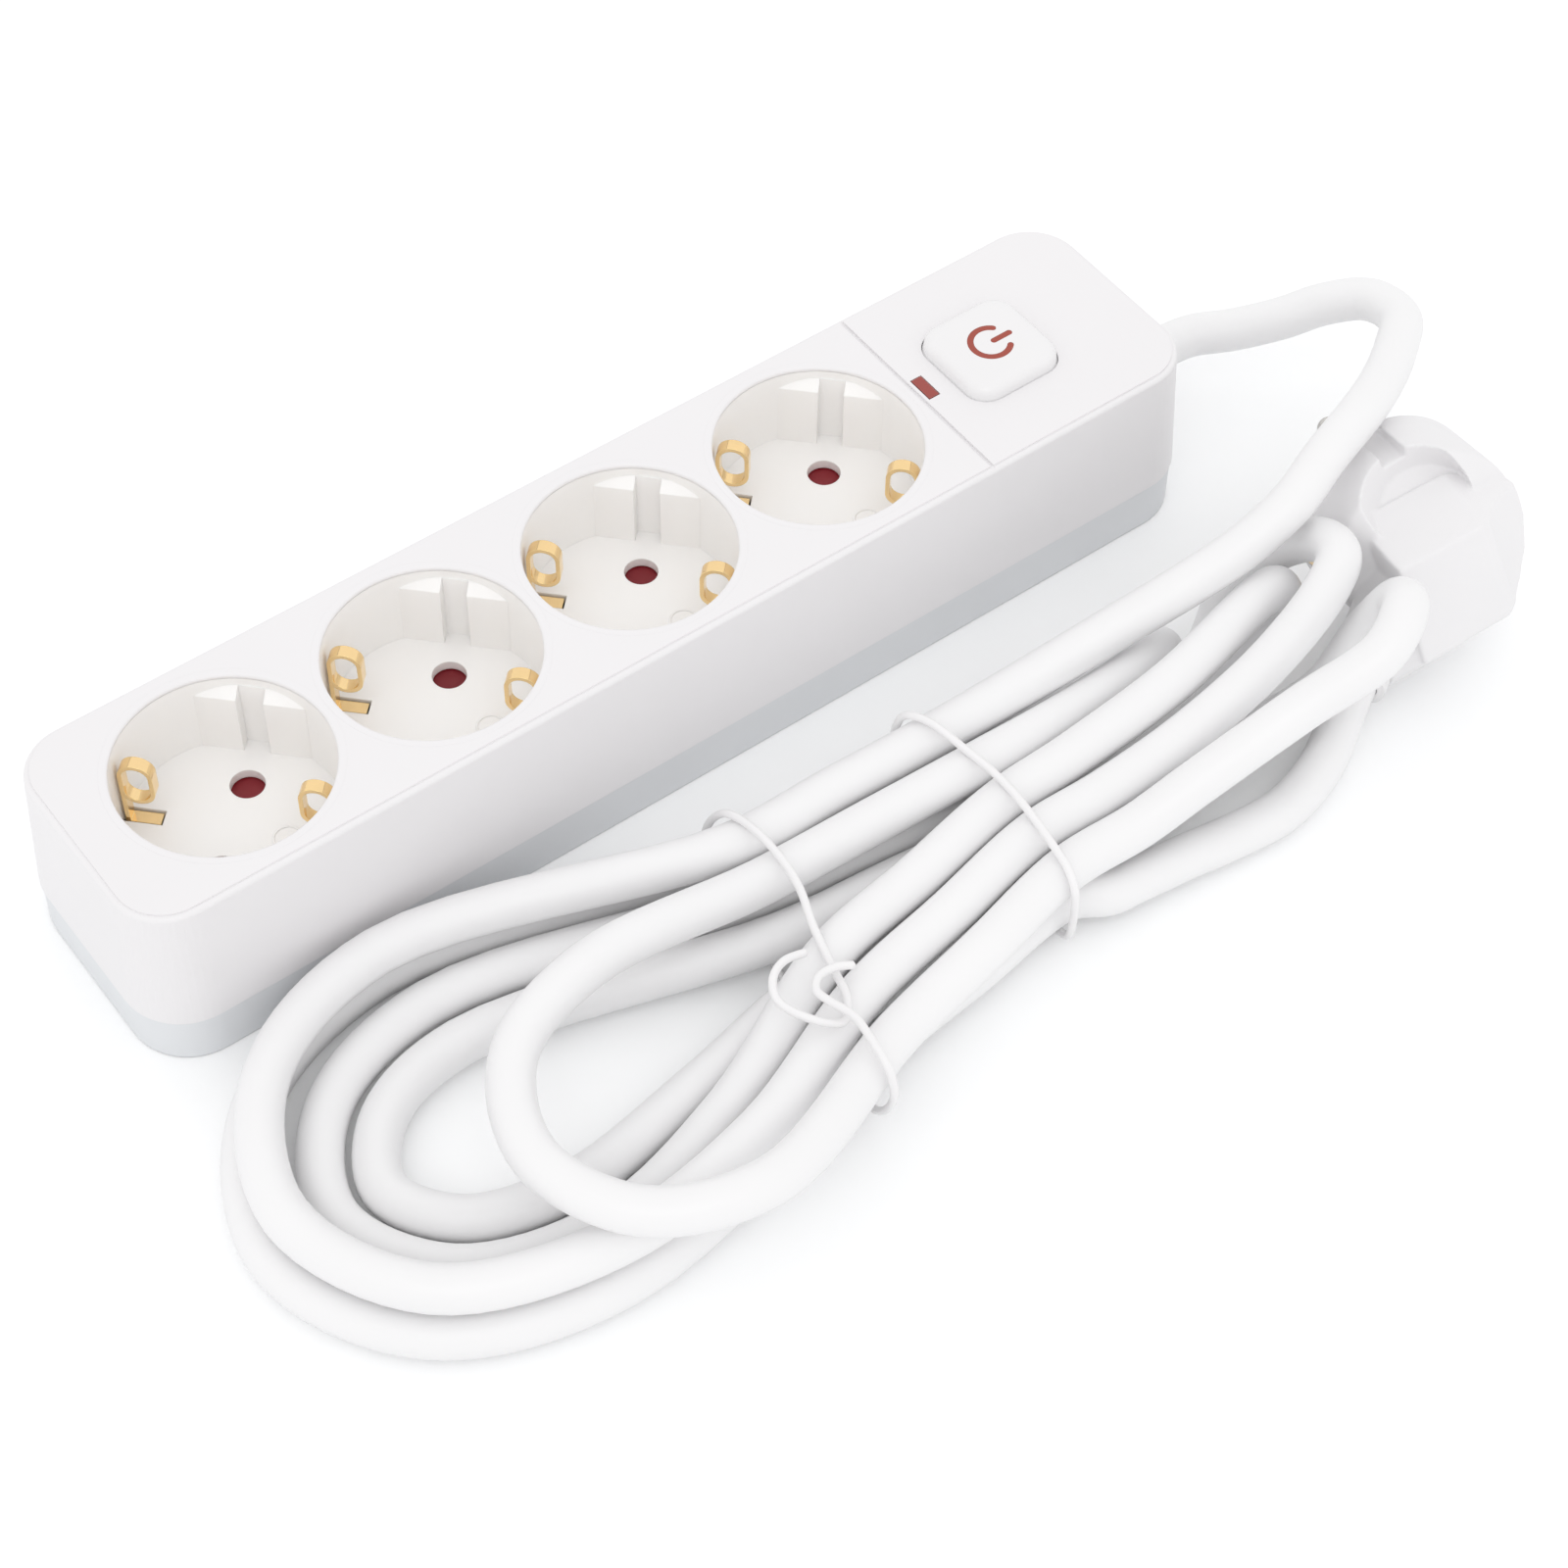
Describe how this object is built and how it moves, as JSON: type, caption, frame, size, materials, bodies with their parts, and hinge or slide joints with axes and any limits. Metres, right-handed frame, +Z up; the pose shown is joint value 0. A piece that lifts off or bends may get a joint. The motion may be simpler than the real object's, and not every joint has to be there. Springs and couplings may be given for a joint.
{
  "type": "extension cord",
  "caption": "Power strip with recessed earthed sockets in a row, safety shutters, a push-button switch, and a hanked supply cord with a side-entry plug.",
  "frame": {"origin": "centre of the housing's underside", "axes": "+X along the housing towards the cord's end, +Y away from the hanked cord, +Z up out of the sockets"},
  "size_m": [0.2877, 0.1424, 0.0448],
  "materials": {
    "cover_white": "smooth moulded, soft gloss",
    "tray_grey": "smooth moulded, cool grey",
    "screw_steel": "zinc plated",
    "socket_white": "smooth moulded, warm white",
    "shutter_red": "moulded, dark red",
    "contact_brass": "bright strip",
    "button_white": "smooth moulded",
    "icon_red": "inlaid symbol",
    "inner_plastic": "moulded",
    "spring_steel": "drawn wire",
    "switch_black": "moulded",
    "lens_red": "clear red",
    "lamp_red": "clear",
    "gland_white": "soft PVC",
    "cord_white": "smooth PVC sheath",
    "tie_white": "plastic coated wire",
    "wire_brown": "PVC",
    "wire_blue": "PVC",
    "wire_green": "PVC",
    "plug_white": "moulded PVC, satin",
    "core_grey": "moulded",
    "pin_nickel": "nickel plated"
  },
  "bodies": {
    "strip": {"top_cover": "cover_white", "base_tray": "tray_grey", "cover_screws": "screw_steel", "socket_cup_1": "socket_white", "socket_cup_2": "socket_white", "socket_cup_3": "socket_white", "socket_cup_4": "socket_white", "earth_bow_1": "contact_brass", "earth_bow_2": "contact_brass", "earth_bow_3": "contact_brass", "earth_bow_4": "contact_brass", "earth_busbar": "contact_brass", "live_busbar": "contact_brass", "neutral_busbar": "contact_brass", "switch_spring": "spring_steel", "switch_housing": "switch_black", "switch_base": "switch_black", "switch_terminals": "contact_brass", "indicator_lens": "lens_red", "indicator_lamp": "lamp_red", "cord_gland": "gland_white", "cord_tail": "cord_white", "cord_clamp": "inner_plastic", "clamp_screws": "screw_steel", "live_wires": "wire_brown", "neutral_wires": "wire_blue", "earth_wire": "wire_green", "cord_lead": "cord_white", "cord_hank": "cord_white", "plug_lead": "cord_white", "twist_tie": "tie_white", "plug_body": "plug_white", "plug_core": "core_grey", "plug_pins": "pin_nickel", "plug_earth_strips": "contact_brass", "plug_collar": "gland_white"},
    "button": {"power_button": "button_white", "power_icon": "icon_red", "switch_plunger": "inner_plastic", "switch_bridge": "contact_brass"},
    "rotor_1": {"shutter_1": "shutter_red"},
    "rotor_2": {"shutter_2": "shutter_red"},
    "rotor_3": {"shutter_3": "shutter_red"},
    "rotor_4": {"shutter_4": "shutter_red"}
  },
  "joints": [
    {"name": "button_press", "type": "slide", "parent": "strip", "child": "button", "axis": [0, 0, -1], "range_m": [0, 0.003], "stiffness_N_per_m": 300, "springref_m": -0.003, "deforming": ["switch_spring"]},
    {"name": "shutter_1_turn", "type": "hinge", "parent": "strip", "child": "rotor_1", "pos_m": [-0.084, 0, 0.01725], "axis": [0, 0, 1], "range_deg": [0, 40], "stiffness_Nm_per_rad": 0.002, "springref_deg": -20.05},
    {"name": "shutter_2_turn", "type": "hinge", "parent": "strip", "child": "rotor_2", "pos_m": [-0.042, 0, 0.01725], "axis": [0, 0, 1], "range_deg": [0, 40], "stiffness_Nm_per_rad": 0.002, "springref_deg": -20.05},
    {"name": "shutter_3_turn", "type": "hinge", "parent": "strip", "child": "rotor_3", "pos_m": [0, 0, 0.01725], "axis": [0, 0, 1], "range_deg": [0, 40], "stiffness_Nm_per_rad": 0.002, "springref_deg": -20.05},
    {"name": "shutter_4_turn", "type": "hinge", "parent": "strip", "child": "rotor_4", "pos_m": [0.042, 0, 0.01725], "axis": [0, 0, 1], "range_deg": [0, 40], "stiffness_Nm_per_rad": 0.002, "springref_deg": -20.05}
  ]
}
